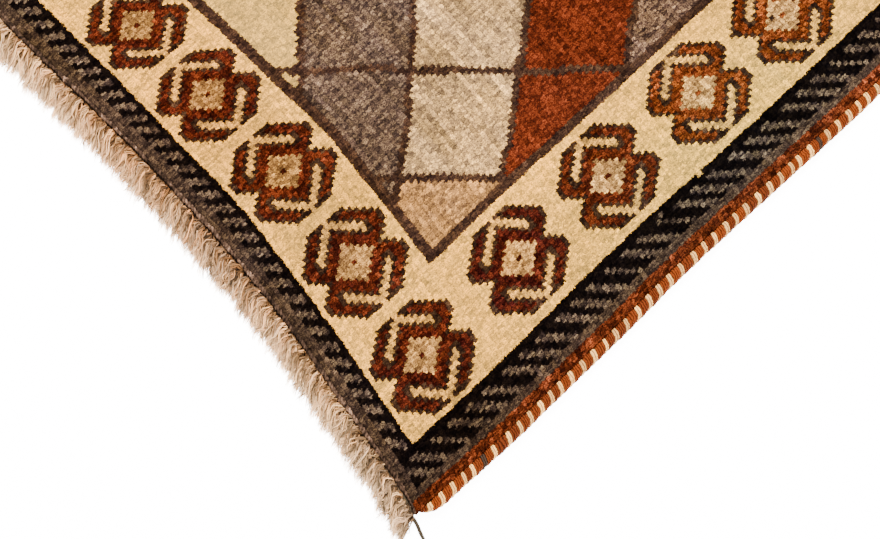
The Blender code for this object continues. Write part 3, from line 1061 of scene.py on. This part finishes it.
def tuft_group():
    """Tufts, two to a knot: a tuft's place strays with noise, its height is
    domed, its shade is painted shade, dark in the grooves between tufts,
    times a random tone of its own, and the masks say where a neighbouring
    knot's tuft lies over this one's edge."""
    tree, inside, out = group(
        "tuft",
        (
            ("Knot", "NodeSocketVector", None),
            ("Place", "NodeSocketVector", None),
            ("Stray", "NodeSocketFloat", 0.4),
            ("Fineness", "NodeSocketFloat", 800.0),
            ("Unlike", "NodeSocketFloat", 0.5),
        ),
        (
            ("Height", "NodeSocketFloat"),
            ("Shade", "NodeSocketFloat"),
            ("After", "NodeSocketFloat"),
            ("Before", "NodeSocketFloat"),
            ("Above", "NodeSocketFloat"),
            ("Below", "NodeSocketFloat"),
        ),
    )
    noise = put(tree, "TexNoise", {"Vector": inside.outputs["Place"],
                                   "Scale": inside.outputs["Fineness"],
                                   "Detail": 2.0, "Roughness": 0.6})
    apart = put(tree, "SeparateColor", {0: noise.outputs["Color"]})
    knot = put(tree, "SeparateXYZ", {0: inside.outputs["Knot"]})
    domes, cells = [], []
    for k, (more, less) in enumerate((("After", "Before"), ("Above", "Below"))):
        own = calc(tree, "FRACT", knot.outputs[k])
        stray = calc(tree, "MULTIPLY", calc(tree, "SUBTRACT", apart.outputs[k], 0.5),
                     inside.outputs["Stray"])
        at = calc(tree, "MULTIPLY_ADD", stray, 2.0, own)
        tree.links.new(scaled(tree, at, 0.97, 1.05, 0.0, 1.0), out.inputs[more])
        tree.links.new(scaled(tree, at, -0.05, 0.03, 1.0, 0.0), out.inputs[less])
        whole = calc(tree, "MULTIPLY_ADD", stray, 2.0, knot.outputs[k])
        tufts = calc(tree, "MULTIPLY_ADD", whole, 2.0 - k, 64.0)
        cells.append(calc(tree, "FLOOR", tufts))
        bowl = calc(tree, "ABSOLUTE", calc(tree, "MULTIPLY_ADD",
                                           calc(tree, "FRACT", tufts), 2.0, -1.0))
        domes.append(calc(tree, "SUBTRACT", 1.0, calc(tree, "POWER", bowl, 2.2 + 1.6 * k)))
    height = calc(tree, "MULTIPLY", domes[0], domes[1])
    cell = put(tree, "CombineXYZ", {0: cells[0], 1: cells[1]})
    dye = put(tree, "TexWhiteNoise", {"Vector": cell.outputs[0]})
    odd = calc(tree, "MULTIPLY", calc(tree, "SUBTRACT", dye.outputs["Value"], 0.5),
               inside.outputs["Unlike"])
    # Painted shade: darker where the tufts' domes fall into the grooves between them
    painted_groove_shade = scaled(tree, height, 0.0, 0.55, 0.46, 1.06)
    shade = calc(tree, "MULTIPLY", painted_groove_shade, calc(tree, "ADD", odd, 1.0))
    tree.links.new(height, out.inputs["Height"])
    tree.links.new(shade, out.inputs["Shade"])
    return tree


def material(name):
    """A new material, its node tree and its shader."""
    made = bpy.data.materials.new(name)
    made.use_nodes = True
    tree = made.node_tree
    return made, tree, tree.nodes["Principled BSDF"]


def place_group(tree, which, inputs):
    """A shared shader group placed in a material."""
    return put(tree, "Group", inputs, node_tree=which)


def attribute(tree, name):
    """A colour map of the mesh, as a socket."""
    return put(tree, "Attribute", attribute_name=name).outputs["Color"]


def wool_shader(tree, shader, colour, height, strength, depth, rough=0.95, gloss=0.0):
    """Joins a wool's colour and its relief to the shader, and sets how matt it
    is on the shader's own sockets."""
    tree.links.new(colour, shader.inputs["Base Color"])
    bump = put(tree, "Bump", {"Height": height, "Strength": strength, "Distance": depth})
    tree.links.new(bump.outputs[0], shader.inputs["Normal"])
    shader.inputs["Roughness"].default_value = rough
    shader.inputs["Specular IOR Level"].default_value = gloss


def pile_material(fibre, tuft, knotted):
    """Knotted wool: own colour, neighbours' tufts lying over the edge, painted
    shade dark in the grooves between tufts, and the fibres' painted shade
    throughout."""
    made, tree, shader = material("knotted_wool" if knotted else "woven_back")
    spot = put(tree, "TexCoord").outputs["Object"]
    knot = put(tree, "UVMap", uv_map="knots").outputs["UV"]
    shape = place_group(tree, tuft, {"Knot": knot, "Place": spot,
                                     "Stray": 0.66 if knotted else 0.2,
                                     "Unlike": 0.95 if knotted else 0.3})
    colour = attribute(tree, "own")
    if knotted:
        for key in ("after", "before", "above", "below"):
            colour = mixed(tree, shape.outputs[key.capitalize()], colour,
                           attribute(tree, key))
    drawn = put(tree, "VectorMath", {0: spot, 1: (1.0, 0.5, 1.0)}, operation="MULTIPLY")
    hair = place_group(tree, fibre, {"Place": drawn.outputs[0], "Fineness": 1500.0,
                                     "Depth": 0.68})
    # Painted shade of the grooves between tufts and of the fibres, with each tuft's random tone
    tone = calc(tree, "MULTIPLY", shape.outputs["Shade"], hair.outputs["Shade"])
    contrast = put(tree, "Attribute", attribute_name="own").outputs["Alpha"]
    # Raised so that the tufts' tops come out lighter than the wool: painted highlight, with the
    # painted shade below it
    bright = calc(tree, "MULTIPLY", tone, 1.38)
    strong = scaled(tree, contrast, 0.7, 1.4, 0.0, 1.0)
    # The powers of red, green and blue, in wools of least and most contrast, which tint and
    # deepen the painted shade and highlights
    lifts = [calc(tree, "POWER", bright, calc(tree, "MULTIPLY", contrast, calc(
        tree, "MULTIPLY_ADD", strong, most - least, least)))
        for least, most in ((1.28, 1.0), (1.08, 1.03), (0.46, 0.85))]
    lift = put(tree, "CombineXYZ", dict(enumerate(lifts)))
    shaded = put(tree, "VectorMath", {0: colour, 1: lift.outputs[0]}, operation="MULTIPLY")
    height = calc(tree, "MULTIPLY_ADD", hair.outputs["Height"], 0.5,
                  calc(tree, "MULTIPLY", shape.outputs["Height"], 0.9))
    wool_shader(tree, shader, shaded.outputs[0], height, 0.6, 0.0010)
    return made


def overcast_material(fibre):
    """Wrapped yarn: rust and cream bands in turn, several plies in each, with
    painted shade between the plies, between the bands and where they tuck in
    by the pile, and painted light on the plies' ridges. A ply's ridge is
    |sin| of its share of the band in half turns."""
    half_turn = 3.14159
    made, tree, shader = material("overcast_wool")
    spot = put(tree, "TexCoord").outputs["Object"]
    band = put(tree, "SeparateXYZ", {0: put(tree, "UVMap", uv_map="knots").outputs["UV"]})
    bend = put(tree, "TexNoise", {"Vector": spot, "Scale": 420.0, "Detail": 2.0})
    strayed = calc(tree, "MULTIPLY_ADD", calc(tree, "SUBTRACT", bend.outputs["Fac"], 0.5),
                   0.34, band.outputs[0])
    count = calc(tree, "FLOOR", strayed)
    within = calc(tree, "FRACT", strayed)
    cream = calc(tree, "MODULO", count, 2.0)
    plies = calc(tree, "MULTIPLY_ADD", cream, -2.0, 4.0)
    ridge = calc(tree, "ABSOLUTE", calc(tree, "SINE", calc(
        tree, "MULTIPLY", calc(tree, "MULTIPLY", within, plies), half_turn)))
    bulge = calc(tree, "SINE", calc(tree, "MULTIPLY", within, half_turn))
    inward = calc(tree, "MULTIPLY_ADD", bulge, 0.17, band.outputs[1])
    # Painted shade where the plies tuck in by the pile
    painted_tuck_shade = scaled(tree, inward, -0.34, -0.14, 0.20, 1.0)
    dye = put(tree, "TexWhiteNoise", {"W": count}, noise_dimensions="1D").outputs["Value"]
    rust = mixed(tree, dye, (*wool_light((150, 67, 36)), 1), (*wool_light((184, 94, 48)), 1))
    pale = mixed(tree, dye, (*wool_light((212, 184, 150)), 1), (*wool_light((234, 214, 186)), 1))
    colour = mixed(tree, cream, rust, pale)
    colour = mixed(tree, scaled(tree, dye, 0.95, 0.96, 0.0, 1.0), colour,
                   (*wool_light((96, 70, 54)), 1))
    colour = mixed(tree, scaled(tree, inward, -0.26, -0.18, 1.0, 0.0), colour,
                   (*wool_light((130, 58, 34)), 1))
    hair = place_group(tree, fibre, {"Place": spot, "Fineness": 1300.0, "Depth": 0.50})
    # Painted shade between plies and bands, and painted highlight on the ply ridges
    painted_ply_shade = scaled(tree, ridge, 0.0, 0.95, 0.16, 1.16)
    tone = calc(tree, "MULTIPLY", calc(tree, "MULTIPLY", painted_ply_shade, painted_tuck_shade), hair.outputs["Shade"])
    lift = calc(tree, "MULTIPLY", tone, 1.30)
    shaded = put(tree, "VectorMath", {0: colour, "Scale": lift}, operation="SCALE")
    height = calc(tree, "MULTIPLY_ADD", hair.outputs["Height"], 0.35,
                  calc(tree, "MULTIPLY", ridge, 0.7))
    wool_shader(tree, shader, shaded.outputs[0], height, 0.6, 0.0007, 0.8, 0.03)
    return made


def loose_material(fibre, name, depth, fineness=1400.0):
    """Loose wool that carries its colour on its points, darkened by the fibres' painted shade.
    """
    made, tree, shader = material(name)
    spot = put(tree, "TexCoord").outputs["Object"]
    hair = place_group(tree, fibre, {"Place": spot, "Fineness": fineness, "Depth": depth})
    shaded = put(tree, "VectorMath", {0: attribute(tree, "wool"),
                                      "Scale": hair.outputs["Shade"]}, operation="SCALE")
    wool_shader(tree, shader, shaded.outputs[0], hair.outputs["Height"], 0.5, 0.0006, 0.9, 0.02)
    return made


def matted_material():
    """Matted wool: streaks along the strands, with painted shade between them
    and painted light on them, and an outer edge that frays away where the
    streaks are thin."""
    made, tree, shader = material("matted_wool")
    uv = put(tree, "UVMap", uv_map="knots").outputs["UV"]
    sway = put(tree, "TexNoise", {"Vector": put(tree, "VectorMath", {
        0: uv, 1: (0.22, 2.6, 1.0)}, operation="MULTIPLY").outputs[0], "Scale": 1.0})
    apart = put(tree, "SeparateXYZ", {0: uv})
    across = calc(tree, "MULTIPLY_ADD", sway.outputs["Fac"], 5.0, apart.outputs[0])
    along = calc(tree, "MULTIPLY", apart.outputs[1], 3.4)
    grain = put(tree, "CombineXYZ", {0: calc(tree, "MULTIPLY", across, 2.1), 1: along})
    streak = put(tree, "TexNoise", {"Vector": grain.outputs[0], "Scale": 1.0,
                                    "Detail": 4.0, "Roughness": 0.62})
    fine = streak.outputs["Fac"]
    # Painted shade between the streaks and painted light on them, from the noise that makes
    # their relief
    shade = scaled(tree, fine, 0.34, 0.66, 0.50, 1.18)
    shaded = put(tree, "VectorMath", {0: attribute(tree, "wool"), "Scale": shade},
                 operation="SCALE")
    edge = calc(tree, "MULTIPLY_ADD", fine, 0.9, calc(tree, "SUBTRACT", 0.60, apart.outputs[1]))
    tree.links.new(scaled(tree, edge, 0.10, 0.34, 0.0, 1.0), shader.inputs["Alpha"])
    wool_shader(tree, shader, shaded.outputs[0], fine, 0.7, 0.0012)
    return made


def floor_material():
    """A white floor that glows a little, so that it shows as plain white."""
    made, tree, shader = material("studio_floor")
    shader.inputs["Base Color"].default_value = (0.93, 0.93, 0.93, 1)
    shader.inputs["Emission Color"].default_value = (1, 1, 1, 1)
    shader.inputs["Emission Strength"].default_value = 12.0
    shader.inputs["Roughness"].default_value = 0.9
    shader.inputs["Specular IOR Level"].default_value = 0.0
    return made


# Studio


def make_floor(look):
    """A wide level square just under the rug."""
    mesh = bpy.data.meshes.new("studio_floor")
    half, level = 40.0, -0.0003
    corners = [(-half, -half, level), (half, -half, level), (half, half, level),
               (-half, half, level)]
    mesh.from_pydata(corners, [], [(0, 1, 2, 3)])
    mesh.materials.append(look)
    made = bpy.data.objects.new("studio_floor", mesh)
    bpy.context.collection.objects.link(made)


def make_light(name, where, aim, size, power):
    """A round white lamp aimed at a point."""
    data = bpy.data.lights.new(name, "AREA")
    data.shape = "DISK"
    data.size = size
    data.energy = power
    made = bpy.data.objects.new(name, data)
    made.location = where
    made.rotation_euler = (Vector(aim) - Vector(where)).to_track_quat("-Z", "Y").to_euler()
    bpy.context.collection.objects.link(made)


# The eye as fitted to the photo: place, and its axes right, up and back
EYE = (0.3873, -0.6234, 0.7692)
AXES = ((0.68034, 0.73159, 0.04371), (-0.72324, 0.66053, 0.20156), (0.11859, -0.16875, 0.97850))


def make_camera():
    """The camera at the eye, with its axes."""
    data = bpy.data.cameras.new("camera")
    data.lens = 50
    data.sensor_width = 36
    data.clip_start = 0.02
    made = bpy.data.objects.new("camera", data)
    turn = Matrix(AXES).transposed().to_4x4()
    made.matrix_world = Matrix.Translation(EYE) @ turn
    bpy.context.collection.objects.link(made)
    bpy.context.scene.camera = made


def make_world():
    """An even white surrounding light."""
    world = bpy.data.worlds.new("studio")
    world.use_nodes = True
    world.node_tree.nodes["Background"].inputs["Color"].default_value = (1, 1, 1, 1)
    world.node_tree.nodes["Background"].inputs["Strength"].default_value = 2.08
    bpy.context.scene.world = world


fibre, tuft = fibre_group(), tuft_group()
plan, dye = weave_plan()
colours = knot_colours(plan, dye)
loose = loose_material(fibre, "loose_wool", 0.25)
twined = loose_material(fibre, "twined_wool", 0.85, 750.0)
overcast = overcast_material(fibre)

pile = make_pile(colours, pile_material(fibre, tuft, True))
back = make_back(colours, pile_material(fibre, tuft, False))
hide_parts("pile")
right = make_overcast("overcast_right", 1, overcast, 3)
left = make_overcast("overcast_left", -1, overcast, 4)
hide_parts("selvedge_right")
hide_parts("selvedge_left")
near = make_fringe("loose_fringe_near", -1, 0.46, loose, 5,
                   count=3900, locks=230, size=0.00026, light=1.0)
under = make_fringe("under_fringe_near", -1, 0.44, loose, 15,
                    count=2900, locks=420, size=0.00032, light=0.7)
far = make_fringe("loose_fringe_far", 1, -0.15, loose, 6,
                  count=2900, locks=260, size=0.00032, light=1.0)
matted = matted_material()
near_mat = make_mat("matted_fringe_near", -1, 0.45, matted, 25)
far_mat = make_mat("matted_fringe_far", 1, -0.15, matted, 26)
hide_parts("fringe_near")
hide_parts("fringe_far")
near_band = make_end_band("woven_end_near", -1, loose, 21)
far_band = make_end_band("woven_end_far", 1, loose, 22)
near_twine = make_twine("twined_line_near", -1, twined, 8)
far_twine = make_twine("twined_line_far", 1, twined, 9)
thread = make_thread(loose)

make_floor(floor_material())
make_world()
middle = (0.15, -0.35, 0.0)
make_light("key", (-0.9, 0.6, 2.2), middle, size=1.0, power=232)
make_light("fill", (1.6, -1.4, 1.8), middle, size=1.8, power=30)
make_camera()
